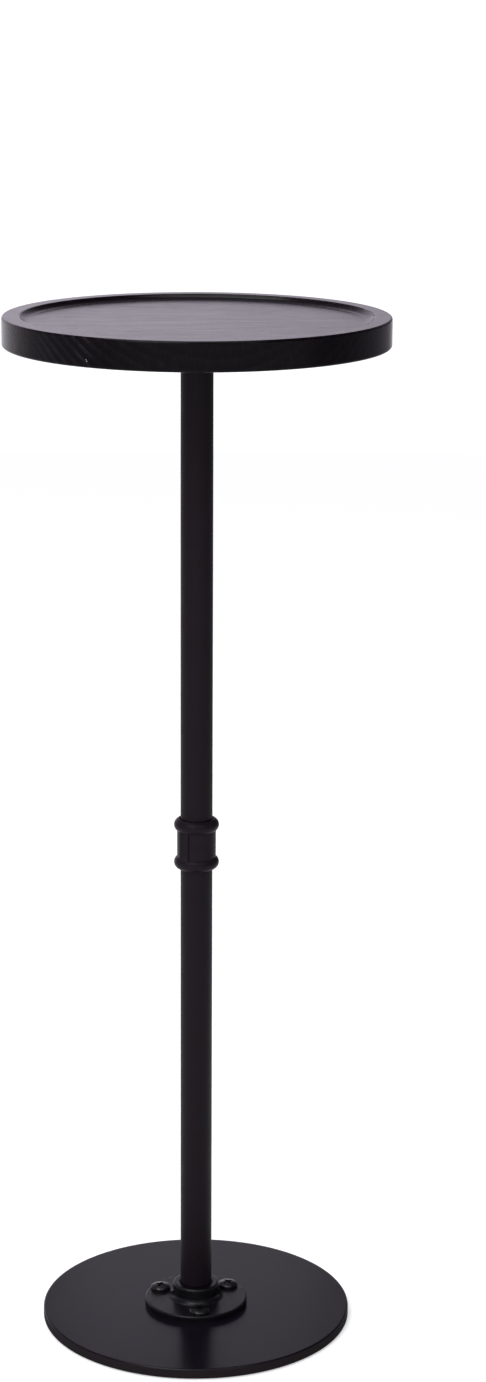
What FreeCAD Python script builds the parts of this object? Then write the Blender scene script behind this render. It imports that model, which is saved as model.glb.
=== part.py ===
"""Wine table: a turned wooden tray on a pole of threaded pipe, which stands on a round base plate.

Millimetres, +Z up along the pole, origin on the floor under the middle of the base. One screw of each flange
faces -Y. Screw threads are plain cylinders with a small clearance.
"""
import FreeCAD, Part
import Sketcher
import os

doc = FreeCAD.newDocument("WineTable")

# Driving dimensions

SIZES = [
    ("tray_diameter", 250.0, "outside of the tray"),
    ("tray_thickness", 19.0, "underside to top of the rim"),
    ("rim_width", 11.5, "raised rim, outside to inner edge"),
    ("recess_depth", 3.0, "top of the rim down to the tray's floor"),
    ("wall_run", 3.0, "slope of the rim's inner wall, from its top in to its foot"),
    ("cove_radius", 6.5, "hollow between the floor and the rim's inner wall"),
    ("rim_inner_round", 2.0, "inner top edge of the rim"),
    ("tray_edge_round", 1.5, "outer top and bottom edges of the tray"),
    ("pilot_cover", 2.0, "wood left between a pilot hole and the tray's floor"),
    ("pipe_diameter", 21.3, "outside of half-inch pipe"),
    ("pipe_wall", 2.65, "wall of the pipe"),
    ("lower_pipe_length", 328.0, "lower half of the pole"),
    ("upper_pipe_length", 328.0, "upper half of the pole"),
    ("pipe_end_chamfer", 0.8, "lead-in on each threaded end"),
    ("thread_step", 0.2, "pipe surface down to the thread's crest"),
    ("thread_clearance", 0.05, "crest of a thread to the hole around it"),
    ("plate_gap", 1.4, "lower pipe's end to the base plate"),
    ("pipe_end_gap", 2.6, "between the two pipe ends inside the coupling"),
    ("tray_gap", 3.4, "upper pipe's end to the tray"),
    ("mouth_gap", 0.95, "pipe surface to the widened mouth of a fitting"),
    ("mouth_depth", 1.2, "depth of the widened mouth"),
    ("coupling_length", 34.3, "end face to end face"),
    ("coupling_wall", 2.45, "threaded hole to the waist"),
    ("band_height", 2.05, "band above the waist"),
    ("band_round", 4.5, "radius of the band's rounded section"),
    ("band_lip", 0.4, "flat ring between the mouth and the band"),
    ("rib_count", 2, "ribs along the coupling's waist"),
    ("rib_width", 7.0, "one rib, across"),
    ("rib_height", 0.8, "rib above the waist"),
    ("rib_round", 0.5, "long outer edges of a rib"),
    ("rib_angle", -44.0, "turn of the ribs from the Y axis about the pole, in degrees"),
    ("flange_thickness", 4.5, "disc of a flange"),
    ("flange_height", 15.3, "disc and hub together"),
    ("flange_edge_round", 1.0, "top edge of the disc"),
    ("hub_wall", 4.1, "mouth to the outside of the hub"),
    ("hub_fillet", 3.6, "foot of the hub"),
    ("hub_edge_round", 1.4, "top edge of the hub"),
    ("screw_inner_land", 0.9, "foot of the hub to a screw head"),
    ("screw_edge_margin", 8.0, "screw axis to the edge of the disc"),
    ("screw_count", 3, "screws in each flange"),
    ("screw_hole_clearance", 0.3, "screw to its hole in the flange"),
    ("base_screw_diameter", 6.0, "machine screws in the base"),
    ("base_screw_chamfer", 0.7, "end of a base screw"),
    ("base_head_diameter", 13.6, "heads of the base screws"),
    ("base_head_height", 3.5, "head of a base screw, seat to crown"),
    ("tray_screw_diameter", 5.0, "wood screws in the tray"),
    ("tray_head_diameter", 11.0, "heads of the wood screws"),
    ("tray_head_height", 3.2, "head of a wood screw, seat to crown"),
    ("tray_screw_point", 4.0, "pointed end of a wood screw"),
    ("tray_screw_tip", 0.4, "radius at the very tip of a wood screw"),
    ("head_edge_height", 1.3, "straight edge of a head, below its shoulder"),
    ("head_round", 1.2, "rounded shoulder between a head's edge and its crown"),
    ("cross_span", 6.8, "length of the cross recess"),
    ("cross_width", 1.8, "width of the cross recess"),
    ("cross_depth", 2.4, "depth of the cross recess"),
    ("screw_tip_gap", 0.5, "screw's end to the bottom of its hole"),
    ("base_diameter", 210.0, "base plate"),
    ("base_thickness", 7.0, "base plate"),
    ("base_edge_round", 1.2, "top and bottom edges of the base plate"),
    ("pad_diameter", 22.0, "pads under the base"),
    ("pad_thickness", 0.6, "pads under the base"),
    ("pad_inset", 20.0, "pad's centre to the edge of the base"),
    ("pad_count", 4, "pads under the base"),
]

sheet = doc.addObject("Spreadsheet::Sheet", "Sizes")
for row, (alias, size, note) in enumerate(SIZES, start=1):
    sheet.set(f"A{row}", note)
    sheet.set(f"B{row}", str(size))
    sheet.setAlias(f"B{row}", alias)
doc.recompute()


def cell(alias):
    """The sheet's cell of that name, as it is written in an expression."""
    return f"Sizes.{alias}"


def value(expression):
    """The number that an expression of sheet cells gives."""
    return float(sheet.evalExpression(expression))


# Sizes worked out from the driving dimensions

PIPE_R = f"({cell('pipe_diameter')} / 2)"
PIPE_BORE_R = f"({PIPE_R} - {cell('pipe_wall')})"
THREAD_R = f"({PIPE_R} - {cell('thread_step')})"
FITTING_BORE_R = f"({THREAD_R} + {cell('thread_clearance')})"
MOUTH_R = f"({PIPE_R} + {cell('mouth_gap')})"
HUB_R = f"({MOUTH_R} + {cell('hub_wall')})"
LARGEST_HEAD = f"max({cell('base_head_diameter')}; {cell('tray_head_diameter')})"
LARGEST_SCREW = f"max({cell('base_screw_diameter')}; {cell('tray_screw_diameter')})"
SCREW_CIRCLE_R = f"({HUB_R} + {cell('hub_fillet')} + {cell('screw_inner_land')} + {LARGEST_HEAD} / 2)"
FLANGE_R = f"({SCREW_CIRCLE_R} + {cell('screw_edge_margin')})"
TRAY_FLOOR = f"({cell('tray_thickness')} - {cell('recess_depth')})"
PILOT_DEPTH = f"({TRAY_FLOOR} - {cell('pilot_cover')})"
HALF_COUPLING = f"({cell('coupling_length')} / 2)"

# Heights above the floor

PLATE_TOP = f"({cell('pad_thickness')} + {cell('base_thickness')})"
LOWER_PIPE_END = f"({PLATE_TOP} + {cell('plate_gap')})"
LOWER_PIPE_TOP = f"({LOWER_PIPE_END} + {cell('lower_pipe_length')})"
COUPLING_MIDDLE = f"({LOWER_PIPE_TOP} + {cell('pipe_end_gap')} / 2)"
UPPER_PIPE_END = f"({LOWER_PIPE_TOP} + {cell('pipe_end_gap')})"
TRAY_BOTTOM = f"({UPPER_PIPE_END} + {cell('upper_pipe_length')} + {cell('tray_gap')})"

EDGE_TOLERANCE = 1e-4
FILLET_ROOM = 0.2
UP_AXIS = FreeCAD.Vector(0, 0, 1)
TURN_OVER = FreeCAD.Rotation(FreeCAD.Vector(0, 1, 0), 180)


# Sketches and features

def new_body(label, height):
    """An empty body that stands at the given height on the pole's axis."""
    body = doc.addObject("PartDesign::Body", label)
    body.Label = label
    body.setExpression("Placement.Base.z", height)
    return body


def new_sketch(body, role, name):
    """An empty sketch on one of the body's own origin planes."""
    plane = next(item for item in body.Origin.OriginFeatures if item.Role == role)
    sketch = body.newObject("Sketcher::SketchObject", f"{body.Name}_{name}")
    sketch.AttachmentSupport = (plane, [""])
    sketch.MapMode = "FlatFace"
    return sketch


def bind(sketch, kind, geometry, point, expression):
    """Ties a point of the sketch to its origin along one direction."""
    index = sketch.addConstraint(Sketcher.Constraint(kind, -1, 1, geometry, point, value(expression)))
    sketch.setExpression(f"Constraints[{index}]", expression)


def arc_between(start, end, radius):
    """A counter-clockwise arc of under a half circle from start to end."""
    chord = end - start
    inwards = FreeCAD.Vector(-chord.y, chord.x, 0).normalize()
    rise = (radius ** 2 - (chord.Length / 2) ** 2) ** 0.5
    circle = Part.Circle((start + end) / 2 + inwards * rise, UP_AXIS, radius)
    return Part.ArcOfCircle(circle, circle.parameter(start), circle.parameter(end))


def outline(sketch, corners):
    """A closed counter-clockwise outline of corners (across, up), with a radius where an arc leads on."""
    points = [FreeCAD.Vector(value(corner[0]), value(corner[1]), 0) for corner in corners]
    count = len(corners)
    for index, corner in enumerate(corners):
        start = points[index]
        end = points[(index + 1) % count]
        if len(corner) == 3:
            sketch.addGeometry(arc_between(start, end, value(corner[2])))
        else:
            sketch.addGeometry(Part.LineSegment(start, end))
    for index, corner in enumerate(corners):
        sketch.addConstraint(Sketcher.Constraint("Coincident", index, 2, (index + 1) % count, 1))
        bind(sketch, "DistanceX", index, 1, corner[0])
        bind(sketch, "DistanceY", index, 1, corner[1])
        if len(corner) == 3:
            radius = sketch.addConstraint(Sketcher.Constraint("Radius", index, value(corner[2])))
            sketch.setExpression(f"Constraints[{radius}]", corner[2])


def circle_on(sketch, diameter):
    """A circle round the sketch's origin."""
    sketch.addGeometry(Part.Circle(FreeCAD.Vector(), UP_AXIS, value(diameter) / 2))
    sketch.addConstraint(Sketcher.Constraint("Coincident", 0, 3, -1, 1))
    size = sketch.addConstraint(Sketcher.Constraint("Diameter", 0, value(diameter)))
    sketch.setExpression(f"Constraints[{size}]", diameter)


def revolve(body, sketch, name):
    """The sketch's outline turned right round the sketch's upright axis."""
    turned = body.newObject("PartDesign::Revolution", f"{body.Name}_{name}")
    turned.Profile = sketch
    turned.ReferenceAxis = (sketch, ["V_Axis"])
    turned.Angle = 360
    doc.recompute()
    return turned


def pad(body, sketch, name, length):
    """The sketch's outline raised by a length."""
    raised = body.newObject("PartDesign::Pad", f"{body.Name}_{name}")
    raised.Profile = sketch
    raised.setExpression("Length", length)
    doc.recompute()
    return raised


def pocket(body, sketch, name, depth, upwards=False):
    """The sketch's outline cut to a depth, downwards unless upwards is set."""
    before = body.Shape.Volume
    cut = body.newObject("PartDesign::Pocket", f"{body.Name}_{name}")
    cut.Profile = sketch
    cut.Reversed = upwards
    cut.setExpression("Length", depth)
    doc.recompute()
    if not body.Shape.Volume < before:
        raise ValueError(f"{cut.Name} cuts nothing")
    return cut


def ring_of(body, features, name, count):
    """Copies of the features spread evenly round the pole's axis."""
    axis = next(item for item in body.Origin.OriginFeatures if item.Role == "Z_Axis")
    pattern = body.newObject("PartDesign::PolarPattern", f"{body.Name}_{name}")
    pattern.Originals = features
    pattern.Axis = (axis, [""])
    pattern.Angle = 360
    pattern.setExpression("Occurrences", count)
    body.Tip = pattern
    doc.recompute()
    return pattern


def ring_edges(base, radius, height):
    """Names of the base's round edges that lie at a radius and a height."""
    names = []
    for index, edge in enumerate(base.Shape.Edges, start=1):
        curve = edge.Curve
        if not isinstance(curve, Part.Circle):
            continue
        off = abs(curve.Radius - value(radius)) + abs(curve.Center.z - value(height))
        if off < EDGE_TOLERANCE:
            names.append(f"Edge{index}")
    return names


def fillet(body, base, name, edges, radius):
    """The base with those edges rounded."""
    if not edges:
        raise ValueError(f"{body.Name}_{name} finds no edge")
    rounded = body.newObject("PartDesign::Fillet", f"{body.Name}_{name}")
    rounded.Base = (base, edges)
    rounded.setExpression("Radius", radius)
    doc.recompute()
    return rounded


# Base

def make_floor_pads():
    """Thin round pads that the base plate stands on."""
    body = new_body("floor_pads", "0")
    sketch = new_sketch(body, "XY_Plane", "outline")
    circle_on(sketch, cell("pad_diameter"))
    sketch.setExpression("AttachmentOffset.Base.x", f"{cell('base_diameter')} / 2 - {cell('pad_inset')}")
    first = pad(body, sketch, "pad", cell("pad_thickness"))
    ring_of(body, [first], "ring", cell("pad_count"))
    return body


def make_base_plate():
    """Round plate with rounded edges and a ring of tapped holes."""
    body = new_body("base_plate", cell("pad_thickness"))
    sketch = new_sketch(body, "XY_Plane", "outline")
    circle_on(sketch, cell("base_diameter"))
    disc = pad(body, sketch, "disc", cell("base_thickness"))
    rim = f"{cell('base_diameter')} / 2"
    edges = ring_edges(disc, rim, "0") + ring_edges(disc, rim, cell("base_thickness"))
    fillet(body, disc, "edges", edges, cell("base_edge_round"))
    tapped = new_sketch(body, "XY_Plane", "tapped")
    circle_on(tapped, f"{cell('base_screw_diameter')} + 2 * {cell('thread_clearance')}")
    tapped.setExpression("AttachmentOffset.Base.y", f"-{SCREW_CIRCLE_R}")
    first = pocket(body, tapped, "hole", cell("base_thickness"), upwards=True)
    ring_of(body, [first], "holes", cell("screw_count"))
    return body


# Flanges and their screws

def make_flange(label, height):
    """Cast floor flange: a disc with screw holes and a threaded hub with a widened mouth."""
    body = new_body(label, height)
    sketch = new_sketch(body, "XZ_Plane", "section")
    thickness = cell("flange_thickness")
    top = cell("flange_height")
    outline(sketch, [
        (FITTING_BORE_R, "0"),
        (FLANGE_R, "0"),
        (FLANGE_R, thickness),
        (HUB_R, thickness),
        (HUB_R, top),
        (MOUTH_R, top),
        (FITTING_BORE_R, f"{top} - {cell('mouth_depth')}"),
    ])
    blank = revolve(body, sketch, "blank")
    foot = fillet(body, blank, "foot", ring_edges(blank, HUB_R, thickness), cell("hub_fillet"))
    lip = fillet(body, foot, "lip", ring_edges(foot, HUB_R, top), cell("hub_edge_round"))
    fillet(body, lip, "rim", ring_edges(lip, FLANGE_R, thickness), cell("flange_edge_round"))
    hole = new_sketch(body, "XY_Plane", "screw_hole")
    circle_on(hole, f"{LARGEST_SCREW} + 2 * {cell('screw_hole_clearance')}")
    hole.setExpression("AttachmentOffset.Base.y", f"-{SCREW_CIRCLE_R}")
    first = pocket(body, hole, "hole", thickness, upwards=True)
    ring_of(body, [first], "holes", cell("screw_count"))
    return body


def make_screws(label, height, diameter, head_diameter, head_height, reach, point, tip_r):
    """A flange's screws, heads up: crowned heads with a cross recess, seated on the disc."""
    body = new_body(label, height)
    seat = cell("flange_thickness")
    crown_top = f"({seat} + {head_height})"
    shoulder = f"({seat} + {cell('head_edge_height')})"
    round_r = cell("head_round")
    rise = f"({head_height} - {cell('head_edge_height')})"
    head_r = f"({head_diameter} / 2)"
    round_middle = f"({head_r} - {round_r})"
    crown_r = f"(({round_middle} ^ 2 + {rise} ^ 2 - {round_r} ^ 2) / (2 * ({rise} - {round_r})))"
    reach_out = f"({crown_r} / ({crown_r} - {round_r}))"
    crown_edge = f"({crown_top} - {crown_r} + ({crown_r} - {rise}) * {reach_out})"
    shank_r = f"({diameter} / 2)"
    end = f"(-({reach}))"
    section = new_sketch(body, "YZ_Plane", "section")
    outline(section, [
        ("0", end),
        (tip_r, end),
        (shank_r, f"{end} + {point}"),
        (shank_r, seat),
        (head_r, seat),
        (head_r, shoulder, round_r),
        (f"{round_middle} * {reach_out}", crown_edge, crown_r),
        ("0", crown_top),
    ])
    section.setExpression("AttachmentOffset.Base.x", f"-{SCREW_CIRCLE_R}")
    screw = revolve(body, section, "screw")
    recess = new_sketch(body, "XY_Plane", "recess")
    tip = f"({cell('cross_span')} / 2)"
    side = f"({cell('cross_width')} / 2)"
    outline(recess, [
        (f"-{side}", f"-{tip}"), (side, f"-{tip}"), (side, f"-{side}"),
        (tip, f"-{side}"), (tip, side), (side, side),
        (side, tip), (f"-{side}", tip), (f"-{side}", side),
        (f"-{tip}", side), (f"-{tip}", f"-{side}"), (f"-{side}", f"-{side}"),
    ])
    recess.setExpression("AttachmentOffset.Base.y", f"-{SCREW_CIRCLE_R}")
    recess.setExpression("AttachmentOffset.Base.z", crown_top)
    cross = pocket(body, recess, "cross", cell("cross_depth"))
    ring_of(body, [screw, cross], "ring", cell("screw_count"))
    return body


# Pole

def make_pipe(label, height, length, lower_thread, upper_thread):
    """A length of pipe with a thread at each end."""
    body = new_body(label, height)
    sketch = new_sketch(body, "XZ_Plane", "section")
    chamfer = cell("pipe_end_chamfer")
    outline(sketch, [
        (PIPE_BORE_R, "0"),
        (f"{THREAD_R} - {chamfer}", "0"),
        (THREAD_R, chamfer),
        (THREAD_R, lower_thread),
        (PIPE_R, lower_thread),
        (PIPE_R, f"{length} - {upper_thread}"),
        (THREAD_R, f"{length} - {upper_thread}"),
        (THREAD_R, f"{length} - {chamfer}"),
        (f"{THREAD_R} - {chamfer}", length),
        (PIPE_BORE_R, length),
    ])
    revolve(body, sketch, "tube")
    return body


def make_coupling():
    """Pipe coupling: a threaded sleeve with a rounded band at each end and two ribs along its waist."""
    body = new_body("pipe_coupling", COUPLING_MIDDLE)
    body.setExpression("Placement.Rotation.Angle", cell("rib_angle"))
    half = HALF_COUPLING
    waist = f"({FITTING_BORE_R} + {cell('coupling_wall')})"
    round_r = cell("band_round")
    ring_r = f"({waist} + {cell('band_height')} - {round_r})"
    lip = f"({MOUTH_R} + {cell('band_lip')})"
    band_middle = f"({half} - sqrt({round_r} ^ 2 - ({lip} - {ring_r}) ^ 2))"
    band_foot = f"({band_middle} - sqrt({round_r} ^ 2 - ({waist} - {ring_r}) ^ 2))"
    mouth_end = f"({half} - {cell('mouth_depth')})"
    section = new_sketch(body, "XZ_Plane", "section")
    outline(section, [
        (FITTING_BORE_R, f"-{mouth_end}"),
        (MOUTH_R, f"-{half}"),
        (lip, f"-{half}", round_r),
        (waist, f"-{band_foot}"),
        (waist, band_foot, round_r),
        (lip, half),
        (MOUTH_R, half),
        (FITTING_BORE_R, mouth_end),
    ])
    revolve(body, section, "sleeve")
    rib_sketch = new_sketch(body, "XY_Plane", "rib")
    rib_top = f"({waist} + {cell('rib_height')})"
    inside = f"({FITTING_BORE_R} + {cell('coupling_wall')} / 2)"
    side = f"({cell('rib_width')} / 2)"
    outline(rib_sketch, [
        (f"-{side}", inside),
        (side, inside),
        (side, f"{rib_top} - {cell('rib_round')}", cell("rib_round")),
        (f"{side} - {cell('rib_round')}", rib_top),
        (f"-{side} + {cell('rib_round')}", rib_top, cell("rib_round")),
        (f"-{side}", f"{rib_top} - {cell('rib_round')}"),
    ])
    rib_sketch.setExpression("AttachmentOffset.Base.z", f"-{band_middle}")
    rib = pad(body, rib_sketch, "rib_pad", f"2 * {band_middle}")
    ring_of(body, [rib], "ribs", cell("rib_count"))
    return body


# Tray

def make_tray_top():
    """Turned wooden tray: raised rim, coved recess and pilot holes from below."""
    body = new_body("tray_top", TRAY_BOTTOM)
    outer = f"({cell('tray_diameter')} / 2)"
    inner = f"({outer} - {cell('rim_width')})"
    foot = f"({inner} - {cell('wall_run')})"
    top = cell("tray_thickness")
    sketch = new_sketch(body, "XZ_Plane", "section")
    outline(sketch, [
        ("0", "0"),
        (outer, "0"),
        (outer, top),
        (inner, top),
        (foot, TRAY_FLOOR),
        ("0", TRAY_FLOOR),
    ])
    blank = revolve(body, sketch, "blank")
    wall = f"sqrt({cell('wall_run')} ^ 2 + {cell('recess_depth')} ^ 2)"
    half_slope = f"(({wall} - {cell('wall_run')}) / {cell('recess_depth')})"
    largest_cove = f"({wall} / {half_slope} - {cell('rim_inner_round')} - {FILLET_ROOM})"
    cove_edges = ring_edges(blank, foot, TRAY_FLOOR)
    cove = fillet(body, blank, "cove", cove_edges, f"min({cell('cove_radius')}; {largest_cove})")
    soft = fillet(body, cove, "rim", ring_edges(cove, inner, top), cell("rim_inner_round"))
    edges = ring_edges(soft, outer, "0") + ring_edges(soft, outer, top)
    fillet(body, soft, "edges", edges, cell("tray_edge_round"))
    pilot = new_sketch(body, "XY_Plane", "pilot")
    circle_on(pilot, f"{cell('tray_screw_diameter')} + 2 * {cell('thread_clearance')}")
    pilot.setExpression("AttachmentOffset.Base.y", f"-{SCREW_CIRCLE_R}")
    first = pocket(body, pilot, "pilot_hole", PILOT_DEPTH, upwards=True)
    ring_of(body, [first], "pilot_holes", cell("screw_count"))
    return body


def turn_over(body):
    """The body upside down, for what hangs under the tray."""
    body.Placement = FreeCAD.Placement(body.Placement.Base, TURN_OVER)


LOWER_FLANGE_THREAD = f"({cell('flange_height')} - {cell('plate_gap')})"
UPPER_FLANGE_THREAD = f"({cell('flange_height')} - {cell('tray_gap')})"
COUPLING_THREAD = f"({HALF_COUPLING} - {cell('pipe_end_gap')} / 2)"

floor_pads = make_floor_pads()
base_plate = make_base_plate()
base_flange = make_flange("base_flange", PLATE_TOP)
base_screws = make_screws(
    "base_screws", PLATE_TOP,
    diameter=cell("base_screw_diameter"),
    head_diameter=cell("base_head_diameter"),
    head_height=cell("base_head_height"),
    reach=f"{cell('base_thickness')} - {cell('screw_tip_gap')}",
    point=cell("base_screw_chamfer"),
    tip_r=f"{cell('base_screw_diameter')} / 2 - {cell('base_screw_chamfer')}",
)
lower_pipe = make_pipe(
    "lower_pipe", LOWER_PIPE_END,
    length=cell("lower_pipe_length"),
    lower_thread=LOWER_FLANGE_THREAD,
    upper_thread=COUPLING_THREAD,
)
pipe_coupling = make_coupling()
upper_pipe = make_pipe(
    "upper_pipe", UPPER_PIPE_END,
    length=cell("upper_pipe_length"),
    lower_thread=COUPLING_THREAD,
    upper_thread=UPPER_FLANGE_THREAD,
)
tray_flange = make_flange("tray_flange", TRAY_BOTTOM)
tray_screws = make_screws(
    "tray_screws", TRAY_BOTTOM,
    diameter=cell("tray_screw_diameter"),
    head_diameter=cell("tray_head_diameter"),
    head_height=cell("tray_head_height"),
    reach=f"{PILOT_DEPTH} - {cell('screw_tip_gap')}",
    point=cell("tray_screw_point"),
    tip_r=cell("tray_screw_tip"),
)
tray_top = make_tray_top()
turn_over(tray_flange)
turn_over(tray_screws)
doc.recompute()

# Every object is sound before anything is written

PIECES = [
    floor_pads, base_plate, base_flange, base_screws, lower_pipe,
    pipe_coupling, upper_pipe, tray_flange, tray_screws, tray_top,
]
for item in doc.Objects:
    if "Invalid" in item.State or "Error" in item.State:
        raise ValueError(f"{item.Name} did not build: {item.State}")
for piece in PIECES:
    if piece.Shape.isNull() or not piece.Shape.isValid():
        raise ValueError(f"{piece.Label} is not a sound solid")

os.makedirs("parts", exist_ok=True)
for piece in PIECES:
    piece.Shape.exportStep(f"parts/{piece.Label}.step")
    print(f"{piece.Label}: {len(piece.Shape.Solids)} solids, {piece.Shape.Volume / 1000:.2f} cm3")
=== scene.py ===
"""Looks of the wine table: its finishes, a cut pipe thread, a turned base plate and a plain studio."""

import math

import bpy
from mathutils import Euler, Matrix, Vector


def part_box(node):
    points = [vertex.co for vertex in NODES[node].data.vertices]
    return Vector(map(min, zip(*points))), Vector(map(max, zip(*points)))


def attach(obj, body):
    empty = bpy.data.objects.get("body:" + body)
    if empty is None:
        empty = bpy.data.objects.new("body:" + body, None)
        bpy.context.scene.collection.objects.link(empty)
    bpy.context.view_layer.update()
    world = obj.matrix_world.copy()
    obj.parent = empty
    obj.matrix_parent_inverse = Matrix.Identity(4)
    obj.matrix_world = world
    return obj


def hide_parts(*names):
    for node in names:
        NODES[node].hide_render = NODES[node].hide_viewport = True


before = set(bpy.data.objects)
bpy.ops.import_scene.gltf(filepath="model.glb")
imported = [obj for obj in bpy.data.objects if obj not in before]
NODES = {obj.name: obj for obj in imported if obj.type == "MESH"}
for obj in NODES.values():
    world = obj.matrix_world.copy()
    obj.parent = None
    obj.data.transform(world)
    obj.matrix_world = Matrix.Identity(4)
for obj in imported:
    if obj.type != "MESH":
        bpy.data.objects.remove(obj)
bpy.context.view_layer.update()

bl_info = {
    "name": "Wine table looks",
    "version": (1, 0, 0),
    "blender": (4, 5, 0),
    "location": "View3D > Sidebar > Wine table",
    "description": "Finishes the pieces of a small round pipe table and lights it",
    "category": "Object",
}

# Long side of the photograph in pixels, sensor in millimetres, and nearest and farthest view in metres
PHOTO_LONG_SIDE = 1382.0
SENSOR = 36.0
CLIP = (0.05, 200.0)

TRAY_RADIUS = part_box("tray_top")[1].x
PLATE_LOW, PLATE_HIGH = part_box("base_plate")
PIPE_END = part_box("upper_pipe")[0].z
COUPLING_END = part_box("pipe_coupling")[1].z
TABLE_MIDDLE = Vector((0.0, 0.0, 0.35))

WHITE = (1.0, 1.0, 1.0)
LEFT = (-1.0, 0.0, 0.0)
RIGHT = (1.0, 0.0, 0.0)
BACK_RIGHT = (0.94, 0.34, 0.0)

# Scale that drops a place onto the level plane
FLATTEN = (1.0, 1.0, 0.0)

# Edges that turn by less than this are shaded smooth
SMOOTH_BELOW = math.radians(30.0)


def colour_of(name, about, default):
    """A colour property."""
    return bpy.props.FloatVectorProperty(
        name=name, description=about, subtype="COLOR", size=3, min=0.0, max=1.0, default=default
    )


def length_of(name, about, default):
    """A length property in metres."""
    return bpy.props.FloatProperty(
        name=name, description=about, unit="LENGTH", precision=5, min=0.0, default=default
    )


def share_of(name, about, default):
    """A property from nothing to all."""
    return bpy.props.FloatProperty(
        name=name, description=about, subtype="FACTOR", min=0.0, max=1.0, default=default
    )


def level_of(name, about, default):
    """A plain strength."""
    return bpy.props.FloatProperty(name=name, description=about, min=0.0, default=default)


def power_of(name, about, default):
    """A lamp's power."""
    return bpy.props.FloatProperty(name=name, description=about, unit="POWER", min=0.0, default=default)


def angle_of(name, about, degrees):
    """An angle property."""
    return bpy.props.FloatProperty(
        name=name, description=about, subtype="ANGLE", default=math.radians(degrees)
    )


def point_of(name, about, default):
    """A place in metres."""
    return bpy.props.FloatVectorProperty(
        name=name, description=about, subtype="TRANSLATION", size=3, precision=4, default=default
    )


class TrayWood(bpy.types.PropertyGroup):
    """Black-stained wood of the tray."""

    stain: colour_of("Stain", "Black stain on the soft early wood", (0.0027, 0.0016, 0.0026))
    ring_stain: colour_of("Ring lines", "Hard late wood that takes less stain", (0.0185, 0.0155, 0.0195))
    end_stain: colour_of("End grain", "Reddish streaks on the end grain", (0.040, 0.022, 0.031))
    bare_wood: colour_of("Bare wood", "Wood that shows in the nicks of the edge", (0.24, 0.22, 0.22))
    ring_spacing: length_of("Ring spacing", "Width of one growth ring", 0.0046)
    pith: point_of("Pith", "Centre of the growth rings, below the board", (0.0, 0.025, 0.580))
    figure: point_of(
        "Figure", "Middle of the patch on the edge whose rings show most", (-0.0893, -0.0875, 0.681)
    )
    figure_reach: length_of("Figure reach", "Distance at which that patch ends", 0.031)
    faint_figure: share_of("Faint figure", "How much the rings show elsewhere", 0.22)
    roughness: share_of("Roughness", "Mean roughness of the satin lacquer", 0.17)
    gloss: share_of("Gloss", "Specular level of the lacquer", 0.072)
    sheen: share_of("Sheen", "Soft sheen of the lacquer at a low angle", 0.06)


class PipeCoat(bpy.types.PropertyGroup):
    """Satin black coat on the two lengths of pipe."""

    colour: colour_of("Coat", "Black of the coat", (0.0068, 0.0038, 0.0064))
    grain: length_of("Grain", "Size of the coat's fine grain", 0.0007)
    roughness: share_of("Roughness", "Mean roughness", 0.5)
    gloss: share_of("Gloss", "Specular level", 0.112)
    mottling: share_of("Mottling", "How far the tone strays from its mean", 0.12)
    uneven: share_of("Unevenness", "How far the roughness strays from its mean", 0.05)
    relief: length_of("Relief", "Height of the grain", 0.00002)


class PipeThread(bpy.types.PropertyGroup):
    """Thread cut on the lower end of the upper pipe, which shows when the pole is unscrewed."""

    pitch: length_of("Pitch", "Rise of the thread in one turn", 0.001814)
    crest: length_of("Crest", "Radius over the thread", 0.01045)
    depth: length_of("Depth", "Crest down to the root", 0.00116)
    root_width: length_of("Root", "Flat at the root", 0.0003)
    flank: angle_of("Flank", "Slope of each side of the thread", 27.5)
    run_out: bpy.props.FloatProperty(
        name="Run-out", description="Turns over which the thread rises out of the pipe",
        min=0.1, default=0.8,
    )


class CouplingCoat(bpy.types.PropertyGroup):
    """Satin black coat on the cast coupling, like that of the pipes."""

    colour: colour_of("Coat", "Black of the coat", (0.0126, 0.0092, 0.0130))
    grain: length_of("Grain", "Size of the sand grain that shows through", 0.0009)
    roughness: share_of("Roughness", "Mean roughness", 0.35)
    gloss: share_of("Gloss", "Specular level", 0.062)
    mottling: share_of("Mottling", "How far the tone strays from its mean", 0.2)
    uneven: share_of("Unevenness", "How far the roughness strays from its mean", 0.07)
    relief: length_of("Relief", "Height of the grain", 0.00007)


class FlangeCoat(bpy.types.PropertyGroup):
    """Glossier black coat on the cast flanges."""

    colour: colour_of("Coat", "Black of the coat", (0.0038, 0.0030, 0.0044))
    grain: length_of("Grain", "Size of the sand grain that shows through", 0.0009)
    roughness: share_of("Roughness", "Mean roughness", 0.34)
    gloss: share_of("Gloss", "Specular level", 0.23)
    mottling: share_of("Mottling", "How far the tone strays from its mean", 0.2)
    uneven: share_of("Unevenness", "How far the roughness strays from its mean", 0.07)
    relief: length_of("Relief", "Height of the grain", 0.00007)


class ScrewFinish(bpy.types.PropertyGroup):
    """Black plating on the screws."""

    colour: colour_of("Plating", "Black of the plating", (0.0045, 0.0038, 0.0048))
    grain: length_of("Grain", "Size of the plating's grain", 0.0004)
    roughness: share_of("Roughness", "Mean roughness", 0.28)
    gloss: share_of("Gloss", "Specular level", 0.4)
    mottling: share_of("Mottling", "How far the tone strays from its mean", 0.2)
    uneven: share_of("Unevenness", "How far the roughness strays from its mean", 0.07)
    relief: length_of("Relief", "Height of the grain", 0.00001)


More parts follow.
